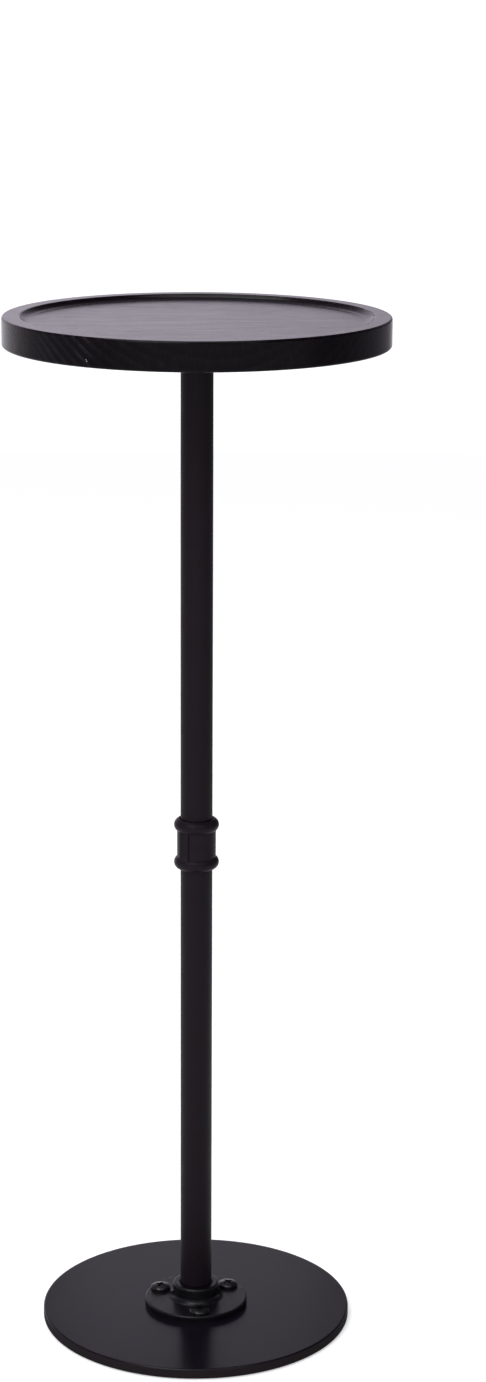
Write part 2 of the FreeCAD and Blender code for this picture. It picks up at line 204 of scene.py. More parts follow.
class PlateCoat(bpy.types.PropertyGroup):
    """Smooth powder coat on the base plate."""

    colour: colour_of("Coat", "Black of the coat", (0.0056, 0.0044, 0.0080))
    grain: length_of("Grain", "Size of the coat's orange peel", 0.0016)
    roughness: share_of("Roughness", "Mean roughness", 0.24)
    gloss: share_of("Gloss", "Specular level", 0.15)
    mottling: share_of("Mottling", "How far the tone strays from its mean", 0.1)
    uneven: share_of("Unevenness", "How far the roughness strays from its mean", 0.03)
    relief: length_of("Relief", "Height of the grain", 0.00001)
    rim_colour: colour_of("Rim", "Thin coat on the plate's cut edge", (0.0142, 0.0108, 0.0120))
    rim_roughness: share_of("Rim roughness", "Roughness of the cut edge", 1.0)


class PlateShape(bpy.types.PropertyGroup):
    """Turned edge and tapped holes of the base plate."""

    edge_round: length_of("Edge round", "Radius on the plate's top and bottom edges", 0.0012)
    border: length_of("Border", "Flat ring inside each rounded edge", 0.0006)
    screw_circle: length_of("Screw circle", "Radius of the circle of tapped holes", 0.027)
    hole_radius: length_of("Hole", "Radius of each tapped hole", 0.00305)


class PadRubber(bpy.types.PropertyGroup):
    """Matt rubber of the floor pads."""

    colour: colour_of("Rubber", "Black of the rubber", (0.016, 0.016, 0.017))
    grain: length_of("Grain", "Size of the moulded grain", 0.0008)
    roughness: share_of("Roughness", "Mean roughness", 0.82)
    gloss: share_of("Gloss", "Specular level", 0.3)
    mottling: share_of("Mottling", "How far the tone strays from its mean", 0.2)
    uneven: share_of("Unevenness", "How far the roughness strays from its mean", 0.06)
    relief: length_of("Relief", "Height of the grain", 0.00005)


class Studio(bpy.types.PropertyGroup):
    """Camera, floor and light."""

    camera_place: point_of("Camera", "Where the camera stands", (-0.18282, -2.00660, 0.94649))
    camera_turn: angle_of("Turn", "Turn of the view to the right of the Y axis", 6.0724)
    camera_dip: angle_of("Dip", "Dip of the view below the horizon", 14.0422)
    camera_roll: angle_of("Roll", "Roll of the view about its own line", -0.28)
    focal_pixels: level_of("Focal length", "Focal length in pixels of the photograph", 3156.2)
    floor_radius: length_of("Floor", "Radius of the floor", 60.0)
    floor_colour: colour_of("Floor", "Pale floor", (0.8, 0.8, 0.8))
    floor_glow: level_of(
        "Floor glow", "White that the floor shows on top of its own shade, at the table", 0.48
    )
    far_glow: level_of("Far glow", "The same far away, where the lamps don't reach", 0.8)
    far_reach: length_of("Reach", "Distance at which the far glow begins", 4.5)
    right_side: share_of("Right side", "How bright the room is to the right of the table", 0.1)
    left_side: share_of("Left side", "How bright the room is to the left of the table", 0.6)
    room_tint: colour_of("Room tint", "Tint of the room's light", (0.94, 0.87, 1.0))
    horizon: level_of("Horizon", "Light of the white backdrop near the horizon", 1.12)
    ceiling: level_of("Ceiling", "Light of the room overhead", 0.22)
    key_place: point_of("Key", "Softbox at the front left", (-1.2, -1.9, 2.6))
    key_size: length_of("Key size", "Side of the softbox at the front left", 1.6)
    key_power: power_of("Key power", "Power of the softbox at the front left", 50.0)
    key_tint: colour_of("Key tint", "Tint of the softbox at the front left", (0.90, 0.94, 1.0))
    fill_place: point_of("Fill", "Weak softbox at the front right", (0.9, -2.0, 2.4))
    fill_size: length_of("Fill size", "Side of the softbox at the front right", 1.2)
    fill_power: power_of("Fill power", "Power of the softbox at the front right", 13.0)
    top_place: point_of("Top", "Softbox overhead", (-0.3, 0.2, 3.0))
    top_size: length_of("Top size", "Side of the softbox overhead", 1.8)
    top_power: power_of("Top power", "Power of the softbox overhead", 40.0)
    card_place: point_of("Card", "Dim card behind the table", (0.07, 0.8, 0.38))
    card_width: length_of("Card width", "Width of the card", 0.25)
    card_height: length_of("Card height", "Height of the card", 0.2)
    card_power: power_of("Card power", "Power of the card", 0.07)
    card_tint: colour_of("Card tint", "Tint of the card", (0.92, 0.86, 1.0))


class WineTable(bpy.types.PropertyGroup):
    """All that can be changed on the table's looks."""

    tray: bpy.props.PointerProperty(type=TrayWood)
    pipes: bpy.props.PointerProperty(type=PipeCoat)
    thread: bpy.props.PointerProperty(type=PipeThread)
    coupling: bpy.props.PointerProperty(type=CouplingCoat)
    flanges: bpy.props.PointerProperty(type=FlangeCoat)
    screws: bpy.props.PointerProperty(type=ScrewFinish)
    plate: bpy.props.PointerProperty(type=PlateCoat)
    plate_shape: bpy.props.PointerProperty(type=PlateShape)
    pads: bpy.props.PointerProperty(type=PadRubber)
    studio: bpy.props.PointerProperty(type=Studio)


def rgba(colour):
    """A colour with full cover."""
    return (*colour, 1.0)


def fill(tree, socket, value):
    """Links an input to another node's output, or sets its value."""
    if isinstance(value, bpy.types.NodeSocket):
        tree.links.new(value, socket)
    else:
        socket.default_value = value


def put(tree, kind, settings=None, **inputs):
    """Adds a node; an underscore in an input's name stands for a space."""
    node = tree.nodes.new(kind)
    for name, value in (settings or {}).items():
        setattr(node, name, value)
    for name, value in inputs.items():
        fill(tree, node.inputs[name.replace("_", " ")], value)
    return node


def maths(tree, operation, *values):
    """A sum on plain values."""
    node = tree.nodes.new("ShaderNodeMath")
    node.operation = operation
    for socket, value in zip(node.inputs, values):
        fill(tree, socket, value)
    return node.outputs[0]


def vector_maths(tree, operation, *vectors):
    """A sum on vectors, which gives a vector only where it normalizes one."""
    node = tree.nodes.new("ShaderNodeVectorMath")
    node.operation = operation
    for socket, value in zip(node.inputs, vectors):
        fill(tree, socket, value)
    return node.outputs["Vector" if operation == "NORMALIZE" else "Value"]


def mixed(tree, share, first, second):
    """A mix of two colours."""
    node = tree.nodes.new("ShaderNodeMix")
    node.data_type = "RGBA"
    sockets = {socket.identifier: socket for socket in (*node.inputs, *node.outputs)}
    fill(tree, sockets["Factor_Float"], share)
    fill(tree, sockets["A_Color"], first)
    fill(tree, sockets["B_Color"], second)
    return sockets["Result_Color"]


def mixed_shaders(tree, share, first, second):
    """A mix of two shaders."""
    node = put(tree, "ShaderNodeMixShader", Fac=share)
    tree.links.new(first.outputs[0], node.inputs[1])
    tree.links.new(second.outputs[0], node.inputs[2])
    return node


def ramp(tree, value, low, high, start=0.0, end=1.0, smooth=True):
    """A value between low and high spread between start and end."""
    node = put(
        tree, "ShaderNodeMapRange",
        {"interpolation_type": "SMOOTHSTEP" if smooth else "LINEAR"},
        Value=value, From_Min=low, From_Max=high, To_Min=start, To_Max=end,
    )
    return node.outputs["Result"]


def stretched(tree, coordinates, scale, location=(0.0, 0.0, 0.0)):
    """Coordinates scaled along each axis, then moved."""
    node = put(tree, "ShaderNodeMapping", Vector=coordinates, Scale=scale, Location=location)
    return node.outputs["Vector"]


def noise(tree, coordinates, scale=1.0, detail=2.0, roughness=0.5):
    """Even noise from nothing to one."""
    node = put(
        tree, "ShaderNodeTexNoise",
        Vector=coordinates, Scale=scale, Detail=detail, Roughness=roughness,
    )
    return node.outputs["Fac"]


# Spacing of the nodes in the editor
COLUMN, ROW = 220.0, 190.0


def arrange(tree):
    """Lays the nodes out in columns, from the output leftwards."""
    depth = {}

    def visit(node, level):
        if depth.get(node.name, -1) >= level:
            return
        depth[node.name] = level
        for socket in node.inputs:
            for link in socket.links:
                visit(link.from_node, level + 1)

    for node in tree.nodes:
        if not any(socket.is_linked for socket in node.outputs):
            visit(node, 0)
    rows = {}
    for name, level in depth.items():
        tree.nodes[name].location = (-COLUMN * level, -ROW * rows.get(level, 0))
        rows[level] = rows.get(level, 0) + 1


def empty_tree(owner):
    """The cleared node tree of a material or world."""
    owner.use_nodes = True
    owner.node_tree.nodes.clear()
    return owner.node_tree


def new_material(name):
    """A new material with its shader and output."""
    material = bpy.data.materials.new(name)
    tree = empty_tree(material)
    shader = tree.nodes.new("ShaderNodeBsdfPrincipled")
    output = tree.nodes.new("ShaderNodeOutputMaterial")
    tree.links.new(shader.outputs["BSDF"], output.inputs["Surface"])
    return material, tree, shader


def dress(material, *names):
    """Puts a finished material on CAD pieces."""
    for name in names:
        if name not in NODES:
            raise RuntimeError(f"there is no piece named {name}")
        mesh = NODES[name].data
        mesh.materials.clear()
        mesh.materials.append(material)


# Coats: noise detail and roughness, stretches, and the values between which each pattern shows
RELIEF_NOISE = {"detail": 3.0, "roughness": 0.55}
MOTTLE_NOISE = {"detail": 3.0, "roughness": 0.6}
MOTTLE_SCALE = 0.045
MOTTLE_RANGE = (0.3, 0.7)
SCUFF_STRETCH = (260.0, 900.0, 60.0)
SCUFF_RANGE = (0.66, 0.8)
SCUFF_TONE = 1.8
SCUFF_COVER = 0.3
COAT_ROUGH_RANGE = (0.7, 1.3)


def coat_grain():
    """The node group of a coat's grain: fine relief, broad mottling and faint scuffs."""
    name = "Coat grain"
    if name in bpy.data.node_groups:
        return bpy.data.node_groups[name]
    tree = bpy.data.node_groups.new(name, "ShaderNodeTree")
    sockets = tree.interface
    sockets.new_socket("Vector", in_out="INPUT", socket_type="NodeSocketVector")
    sockets.new_socket("Grains per metre", in_out="INPUT", socket_type="NodeSocketFloat")
    for output in ("Relief", "Mottle", "Scuffs"):
        sockets.new_socket(output, in_out="OUTPUT", socket_type="NodeSocketFloat")
    start = tree.nodes.new("NodeGroupInput")
    end = tree.nodes.new("NodeGroupOutput")
    place, grains = start.outputs["Vector"], start.outputs["Grains per metre"]
    relief = noise(tree, place, grains, **RELIEF_NOISE)
    mottle = noise(tree, place, maths(tree, "MULTIPLY", grains, MOTTLE_SCALE), **MOTTLE_NOISE)
    scuffs = ramp(tree, noise(tree, stretched(tree, place, SCUFF_STRETCH)), *SCUFF_RANGE)
    for output, value in (("Relief", relief), ("Mottle", mottle), ("Scuffs", scuffs)):
        tree.links.new(value, end.inputs[output])
    arrange(tree)
    return tree


def coat_material(name, look):
    """A grained coat: its tone, roughness and relief change over the surface."""
    material, tree, shader = new_material(name)
    place = put(tree, "ShaderNodeTexCoord").outputs["Object"]
    grain = tree.nodes.new("ShaderNodeGroup")
    grain.node_tree = coat_grain()
    fill(tree, grain.inputs["Vector"], place)
    grain.inputs["Grains per metre"].default_value = 1.0 / look.grain
    dark, pale, scuffed = (
        rgba([c * tone for c in look.colour])
        for tone in (1.0 - look.mottling, 1.0 + look.mottling, SCUFF_TONE)
    )
    tone = mixed(tree, ramp(tree, grain.outputs["Mottle"], *MOTTLE_RANGE), dark, pale)
    share = maths(tree, "MULTIPLY", grain.outputs["Scuffs"], SCUFF_COVER)
    fill(tree, shader.inputs["Base Color"], mixed(tree, share, tone, scuffed))
    blend = maths(tree, "ADD", grain.outputs["Relief"], grain.outputs["Mottle"])
    smoothest, roughest = look.roughness - look.uneven, look.roughness + look.uneven
    fill(tree, shader.inputs["Roughness"], ramp(tree, blend, *COAT_ROUGH_RANGE, smoothest, roughest))
    bump = put(tree, "ShaderNodeBump", Height=grain.outputs["Relief"], Strength=1.0, Distance=look.relief)
    fill(tree, shader.inputs["Normal"], bump.outputs["Normal"])
    shader.inputs["Specular IOR Level"].default_value = look.gloss
    arrange(tree)
    return material


# Length in which the wave texture repeats at a scale of one
WAVE_LENGTH = math.pi / 10.0

# Wood: stretches along X, Y and Z, and waves round and up the edge
RING_STRETCH = (0.06, 1.0, 1.0)
RING_WAVER = {"Distortion": 2.6, "Detail": 2.0, "Detail_Scale": 0.45, "Detail_Roughness": 0.5}
FIBRE_STRETCH = (18.0, 520.0, 520.0)
FIBRE_NOISE = {"detail": 4.0, "roughness": 0.6}
PORE_STRETCH = (55.0, 2400.0, 2400.0)
CLOUD_STRETCH = (14.0, 40.0, 40.0)
CLOUD_DETAIL = 3.0
CUTS_ROUND, CUTS_UP = 96.0, 110.0
CUT_ROUGHNESS = 0.6

# Values between which each pattern shows, and for some how much it shows at both
LATE_WOOD = (0.42, 0.86)
PORE_RANGE = (0.6, 0.74)
FIBRE_SHADE = (0.3, 0.75, 0.35, 1.0)
CLOUD_SHADE = (0.35, 0.65, 0.35, 1.0)
STREAK_RANGE = (0.5, 0.68)
RED_STREAK = (0.46, 0.66, 0.0, 0.7)
FIBRE_ROUGH_RANGE = (0.25, 0.75)
SMOOTHER, ROUGHER = 0.04, 0.05

# Depths inside the tray's radius at which its edge begins and is full
EDGE_DEPTHS = (0.0014, 0.0006)

# Distances along X at which the end grain begins and is full
END_GRAIN = (0.104, 0.122)

# Cover of the streaks and pores, tone of the pores, and the share of a spot's radius that is full
STREAK_COVER = 0.16
PORE_COVER = 0.5
PORE_TONE = 0.5
SPOT_CORE = 0.5

# Relief of each pattern, and of all of them together
RING_HEIGHT, FIBRE_HEIGHT, CUT_HEIGHT = 0.35, 0.5, 0.35
PORE_DEPTH, NICK_DEPTH = 0.45, 3.0
WOOD_BUMP = {"Strength": 0.6, "Distance": 0.00008}

SHEEN_ROUGHNESS = 0.35
SHEEN_TINT = (0.85, 0.72, 1.0)

# Spots of one nick in the edge: place and radius
NICKS = (
    (-0.0768, -0.0986, 0.6761, 0.0005),
    (-0.0763, -0.0990, 0.6752, 0.0006),
)


def wood_material(look):
    """Black-stained board with its grain along X: rings, fibres, pores, cutter marks and a nick."""
    material, tree, shader = new_material("stained_wood")
    place = put(tree, "ShaderNodeTexCoord").outputs["Object"]
    pith = stretched(tree, place, RING_STRETCH, (0.0, -look.pith[1], -look.pith[2]))
    rings = put(
        tree, "ShaderNodeTexWave",
        {"wave_type": "RINGS", "rings_direction": "X", "wave_profile": "SAW"},
        Vector=pith, Scale=WAVE_LENGTH / look.ring_spacing, **RING_WAVER,
    ).outputs["Fac"]
    late = ramp(tree, rings, *LATE_WOOD)
    fibres = noise(tree, stretched(tree, place, FIBRE_STRETCH), **FIBRE_NOISE)
    pores = ramp(tree, noise(tree, stretched(tree, place, PORE_STRETCH)), *PORE_RANGE)
    clouds = noise(tree, stretched(tree, place, CLOUD_STRETCH), detail=CLOUD_DETAIL)

    split = put(tree, "ShaderNodeSeparateXYZ", Vector=place)
    across, along, up = split.outputs["Y"], split.outputs["X"], split.outputs["Z"]
    turn = maths(tree, "ARCTAN2", across, along)
    unrolled = put(
        tree, "ShaderNodeCombineXYZ",
        X=maths(tree, "MULTIPLY", turn, CUTS_ROUND), Y=maths(tree, "MULTIPLY", up, CUTS_UP),
    ).outputs["Vector"]
    cuts = noise(tree, unrolled, roughness=CUT_ROUGHNESS)
    reach = vector_maths(tree, "LENGTH", stretched(tree, place, FLATTEN))
    side = ramp(tree, reach, *(TRAY_RADIUS - depth for depth in EDGE_DEPTHS))
    ends = ramp(tree, maths(tree, "ABSOLUTE", along), *END_GRAIN)
    ends = maths(tree, "MULTIPLY", ends, side)

    tone = maths(tree, "MULTIPLY", late, ramp(tree, fibres, *FIBRE_SHADE))
    tone = maths(tree, "MULTIPLY", tone, ramp(tree, clouds, *CLOUD_SHADE))
    off = vector_maths(tree, "DISTANCE", place, look.figure)
    core = look.figure_reach * SPOT_CORE
    tone = maths(tree, "MULTIPLY", tone, ramp(tree, off, core, look.figure_reach, 1.0, look.faint_figure))
    colour = mixed(tree, tone, rgba(look.stain), rgba(look.ring_stain))
    streak = maths(tree, "MULTIPLY", ramp(tree, cuts, *STREAK_RANGE), side)
    streak = maths(tree, "MULTIPLY", streak, STREAK_COVER)
    colour = mixed(tree, streak, colour, rgba(look.ring_stain))
    red = maths(tree, "MULTIPLY", ramp(tree, cuts, *RED_STREAK), ends)
    colour = mixed(tree, red, colour, rgba(look.end_stain))
    filled = maths(tree, "MULTIPLY", pores, PORE_COVER)
    colour = mixed(tree, filled, colour, rgba([c * PORE_TONE for c in look.stain]))
    nick = 0.0
    for *spot, radius in NICKS:
        near = vector_maths(tree, "DISTANCE", place, spot)
        nick = maths(tree, "MAXIMUM", ramp(tree, near, radius * SPOT_CORE, radius, 1.0, 0.0), nick)
    fill(tree, shader.inputs["Base Color"], mixed(tree, nick, colour, rgba(look.bare_wood)))

    smoothest, roughest = look.roughness - SMOOTHER, look.roughness + ROUGHER
    fill(tree, shader.inputs["Roughness"], ramp(tree, fibres, *FIBRE_ROUGH_RANGE, smoothest, roughest))
    height = maths(tree, "MULTIPLY_ADD", late, RING_HEIGHT, maths(tree, "MULTIPLY", fibres, FIBRE_HEIGHT))
    height = maths(tree, "SUBTRACT", height, maths(tree, "MULTIPLY", pores, PORE_DEPTH))
    height = maths(tree, "MULTIPLY_ADD", maths(tree, "MULTIPLY", cuts, side), CUT_HEIGHT, height)
    height = maths(tree, "SUBTRACT", height, maths(tree, "MULTIPLY", nick, NICK_DEPTH))
    bump = put(tree, "ShaderNodeBump", Height=height, **WOOD_BUMP)
    fill(tree, shader.inputs["Normal"], bump.outputs["Normal"])
    shader.inputs["Specular IOR Level"].default_value = look.gloss
    shader.inputs["Sheen Weight"].default_value = look.sheen
    shader.inputs["Sheen Roughness"].default_value = SHEEN_ROUGHNESS
    shader.inputs["Sheen Tint"].default_value = rgba(SHEEN_TINT)
    arrange(tree)
    return material


class FinishTray(bpy.types.Operator):
    """Stains and lacquers the tray"""

    bl_idname = "wine_table.finish_tray"
    bl_label = "Finish tray"

    def execute(self, context):
        dress(wood_material(context.scene.wine_table.tray), "tray_top")
        return {"FINISHED"}


class FinishPipes(bpy.types.Operator):
    """Coats both lengths of pipe"""

    bl_idname = "wine_table.finish_pipes"
    bl_label = "Finish pipes"

    def execute(self, context):
        look = context.scene.wine_table.pipes
        dress(coat_material("black_pipe", look), "upper_pipe", "lower_pipe")
        return {"FINISHED"}


# Thread: points in one turn, how far the cutter stands out of it, and the reach of a weld
TURN_STEPS = 64
CUT_MARGIN = 0.0004
WELD_REACH = 0.000001


def only(piece):
    """Leaves one piece selected and active."""
    bpy.ops.object.select_all(action="DESELECT")
    piece.select_set(True)
    bpy.context.view_layer.objects.active = piece


def apply_modifier(piece, kind, **settings):
    """Adds a modifier and applies it."""
    only(piece)
    modifier = piece.modifiers.new(kind.lower(), kind)
    for name, value in settings.items():
        setattr(modifier, name, value)
    bpy.ops.object.modifier_apply(modifier=modifier.name)


def weld(piece):
    """Merges points that lie together and drops slivers."""
    only(piece)
    bpy.ops.object.mode_set(mode="EDIT")
    bpy.ops.mesh.select_all(action="SELECT")
    bpy.ops.mesh.remove_doubles(threshold=WELD_REACH)
    bpy.ops.mesh.dissolve_degenerate(threshold=WELD_REACH)
    bpy.ops.object.mode_set(mode="OBJECT")


def groove_cutter(look):
    """A helical bar with the section of the thread's groove, which rises out of the pipe at its top."""
    outer = look.crest + CUT_MARGIN
    root = look.crest - look.depth
    root_half = look.root_width / 2.0
    outer_half = root_half + (outer - root) * math.tan(look.flank)
    low = PIPE_END - look.pitch
    turns = math.floor((COUPLING_END - low) / look.pitch)
    bpy.ops.object.select_all(action="DESELECT")
    bpy.ops.mesh.primitive_plane_add(size=1.0)
    cutter = bpy.context.object
    section = ((root, -root_half), (outer, -outer_half), (root, root_half), (outer, outer_half))
    for vertex, (across, up) in zip(cutter.data.vertices, section):
        vertex.co = (across, 0.0, low + up)
    bpy.ops.object.mode_set(mode="EDIT")
    bpy.ops.mesh.select_all(action="SELECT")
    bpy.ops.mesh.delete(type="ONLY_FACE")
    bpy.ops.object.mode_set(mode="OBJECT")
    apply_modifier(
        cutter, "SCREW", axis="Z", angle=math.tau, screw_offset=look.pitch, iterations=turns,
        steps=TURN_STEPS, render_steps=TURN_STEPS, use_smooth_shade=False,
    )
    lift = look.depth + 2.0 * CUT_MARGIN
    run_steps = round(look.run_out * TURN_STEPS)
    rings = len(cutter.data.vertices) // len(section)
    for vertex in cutter.data.vertices:
        ring = vertex.index // len(section)
        risen = max(0.0, (ring - (rings - 1 - run_steps)) / run_steps)
        radius = math.hypot(vertex.co.x, vertex.co.y)
        vertex.co.xy *= (radius + lift * risen) / radius
    bpy.ops.object.mode_set(mode="EDIT")
    bpy.ops.mesh.select_all(action="SELECT")
    bpy.ops.mesh.fill_holes(sides=len(section))
    bpy.ops.mesh.normals_make_consistent(inside=False)
    bpy.ops.object.mode_set(mode="OBJECT")
    return cutter


class CutThread(bpy.types.Operator):
    """Cuts the thread on the lower end of the upper pipe"""

    bl_idname = "wine_table.cut_thread"
    bl_label = "Cut pipe thread"

    def execute(self, context):
        cutter = groove_cutter(context.scene.wine_table.thread)
        pipe = bpy.data.objects.new("upper_pipe_threaded", NODES["upper_pipe"].data.copy())
        context.collection.objects.link(pipe)
        only(pipe)
        bpy.ops.mesh.customdata_custom_splitnormals_clear()
        weld(pipe)
        faces = len(pipe.data.polygons)
        apply_modifier(pipe, "BOOLEAN", operation="DIFFERENCE", object=cutter, solver="EXACT")
        if len(pipe.data.polygons) <= faces:
            raise RuntimeError("the thread was not cut")
        bpy.data.objects.remove(cutter)
        weld(pipe)
        bpy.ops.object.shade_smooth_by_angle(angle=SMOOTH_BELOW)
        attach(pipe, "upper_pole")
        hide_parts("upper_pipe")
        return {"FINISHED"}


class FinishCoupling(bpy.types.Operator):
    """Coats the coupling"""

    bl_idname = "wine_table.finish_coupling"
    bl_label = "Finish coupling"

    def execute(self, context):
        look = context.scene.wine_table.coupling
        dress(coat_material("cast_coupling", look), "pipe_coupling")
        return {"FINISHED"}


class FinishFlanges(bpy.types.Operator):
    """Coats both flanges"""

    bl_idname = "wine_table.finish_flanges"
    bl_label = "Finish flanges"

    def execute(self, context):
        look = context.scene.wine_table.flanges
        dress(coat_material("cast_fitting", look), "base_flange", "tray_flange")
        return {"FINISHED"}


class FinishScrews(bpy.types.Operator):
    """Blackens the screws"""

    bl_idname = "wine_table.finish_screws"
    bl_label = "Finish screws"

    def execute(self, context):
        look = context.scene.wine_table.screws
        dress(coat_material("black_screw", look), "base_screws", "tray_screws")
        return {"FINISHED"}


# Depths below the plate's top at which its matt edge begins and is full
RIM_BLEND = (0.0004, 0.0010)


def matt_rim(material, look):
    """Makes the coated plate matt below the rounding of its top."""
    tree = material.node_tree
    kinds = {node.type: node for node in tree.nodes}
    shader, place = kinds["BSDF_PRINCIPLED"], kinds["TEX_COORD"].outputs["Object"]
    height = put(tree, "ShaderNodeSeparateXYZ", Vector=place).outputs["Z"]
    start, end = (PLATE_HIGH.z - depth for depth in RIM_BLEND)
    tone, rough = (shader.inputs[name].links[0].from_socket for name in ("Base Color", "Roughness"))
    tone = mixed(tree, ramp(tree, height, start, end), tone, rgba(look.rim_colour))
    rough = maths(tree, "MAXIMUM", rough, ramp(tree, height, start, end, 0.0, look.rim_roughness))
    fill(tree, shader.inputs["Base Color"], tone)
    fill(tree, shader.inputs["Roughness"], rough)
    arrange(tree)


class FinishPlate(bpy.types.Operator):
    """Powder-coats the base plate"""

    bl_idname = "wine_table.finish_plate"
    bl_label = "Finish base plate"

    def execute(self, context):
        look = context.scene.wine_table.plate
        made = coat_material("base_coat", look)
        matt_rim(made, look)
        dress(made, "base_plate")
        return {"FINISHED"}


# Plate: its sides and steps, its screws' places round the pole, and what counts as level or as facing up
PLATE_SIDES = 256
HOLE_SIDES = 48
ROUND_STEPS = 8
SCREW_TURNS = (-90.0, 30.0, 150.0)
SAME_HEIGHT = 0.000001
FACES_UP = 0.999


def round_bar(place, radius, height, sides):
    """A round bar on end, with its place in its mesh."""
    bpy.ops.object.select_all(action="DESELECT")
    bpy.ops.mesh.primitive_cylinder_add(vertices=sides, radius=radius, depth=height, location=place)
    bpy.ops.object.transform_apply(location=True, rotation=False, scale=False)
    return bpy.context.object


def pick(piece, kind):
    """Starts a new selection of edges or faces, to be made in object mode."""
    only(piece)
    bpy.ops.object.mode_set(mode="EDIT")
    bpy.ops.mesh.select_mode(type=kind)
    bpy.ops.mesh.select_all(action="DESELECT")
    bpy.ops.object.mode_set(mode="OBJECT")


def round_rims(plate, look):
    """Rounds the plate's two rims, and keeps its faces flat with a narrow ring inside each."""
    pick(plate, "EDGE")
    corners = plate.data.vertices
    for edge in plate.data.edges:
        first, second = edge.vertices
        edge.select = abs(corners[first].co.z - corners[second].co.z) < SAME_HEIGHT
    bpy.ops.object.mode_set(mode="EDIT")
    bpy.ops.mesh.bevel(offset=look.edge_round, segments=ROUND_STEPS, affect="EDGES")
    bpy.ops.object.mode_set(mode="OBJECT")
    pick(plate, "FACE")
    for face in plate.data.polygons:
        face.select = abs(face.normal.z) > FACES_UP
    bpy.ops.object.mode_set(mode="EDIT")
    bpy.ops.mesh.inset(thickness=look.border)
    bpy.ops.object.mode_set(mode="OBJECT")


class TurnPlate(bpy.types.Operator):
    """Turns the base plate with rounded rims and drills its holes"""

    bl_idname = "wine_table.turn_plate"
    bl_label = "Turn base plate"

    def execute(self, context):
        look = context.scene.wine_table.plate_shape
        middle = Vector((0.0, 0.0, (PLATE_LOW.z + PLATE_HIGH.z) / 2.0))
        thickness = PLATE_HIGH.z - PLATE_LOW.z
        plate = round_bar(middle, PLATE_HIGH.x, thickness, PLATE_SIDES)
        plate.name = plate.data.name = "base_plate_turned"
        round_rims(plate, look)
        for turn in SCREW_TURNS:
            way = Matrix.Rotation(math.radians(turn), 3, "Z") @ Vector(RIGHT)
            place = middle + way * look.screw_circle
            drill = round_bar(place, look.hole_radius, 2.0 * thickness, HOLE_SIDES)
            faces = len(plate.data.polygons)
            apply_modifier(plate, "BOOLEAN", operation="DIFFERENCE", object=drill, solver="EXACT")
            if len(plate.data.polygons) <= faces:
                raise RuntimeError("a hole was not drilled")
            bpy.data.objects.remove(drill)
        only(plate)
        bpy.ops.object.shade_smooth_by_angle(angle=SMOOTH_BELOW)
        plate.data.materials.append(NODES["base_plate"].data.materials[0])
        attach(plate, "base")
        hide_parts("base_plate")
        return {"FINISHED"}


class FinishPads(bpy.types.Operator):
    """Gives the floor pads their rubber"""

    bl_idname = "wine_table.finish_pads"
    bl_label = "Finish floor pads"

    def execute(self, context):
        look = context.scene.wine_table.pads
        dress(coat_material("pad_rubber", look), "floor_pads")
        return {"FINISHED"}


def set_camera(studio):
    """Stands the camera where the photograph was taken from."""
    data = bpy.data.cameras.new("photo_camera")
    data.sensor_width = SENSOR
    data.lens = studio.focal_pixels * SENSOR / PHOTO_LONG_SIDE
    data.clip_start, data.clip_end = CLIP
    camera = bpy.data.objects.new("photo_camera", data)
    bpy.context.collection.objects.link(camera)
    aim = Euler((math.pi / 2.0 - studio.camera_dip, 0.0, -studio.camera_turn)).to_matrix().to_4x4()
    roll = Matrix.Rotation(-studio.camera_roll, 4, "Z")
    camera.matrix_world = Matrix.Translation(studio.camera_place) @ aim @ roll
    bpy.context.scene.camera = camera


def seen_plainly(path):
    """One for rays from the camera, in reflections and through clear surfaces, nothing for the rest."""
    tree = path.id_data
    seen = maths(tree, "MAXIMUM", path.outputs["Is Camera Ray"], path.outputs["Is Glossy Ray"])
    return maths(tree, "MAXIMUM", seen, path.outputs["Is Transmission Ray"])


def share_along(tree, place, way):
    """Cosine between a place, seen from the table, and a level direction."""
    return vector_maths(tree, "DOT_PRODUCT", vector_maths(tree, "NORMALIZE", place), way)


# Cosines between which the left and the right of the floor and of the room grow dim
LEFT_BAND = (0.5, 0.95)
FLOOR_BAND = (0.55, 0.82)
ROOM_BAND = (0.0, 0.45)


def dimmed_sides(tree, place, studio, way, band):
    """One all round the table, but less of it at its left and towards a direction on its right."""
    left = ramp(tree, share_along(tree, place, LEFT), *LEFT_BAND, 1.0, studio.left_side)
    right = ramp(tree, share_along(tree, place, way), *band, 1.0, studio.right_side)
    return maths(tree, "MULTIPLY", left, right)


# Floor: its sides, its gap below the pads, and the distances between which its dim sides begin
FLOOR_SIDES = 96
FLOOR_GAP = 0.00005
LIT_REACH = (0.7, 1.6)


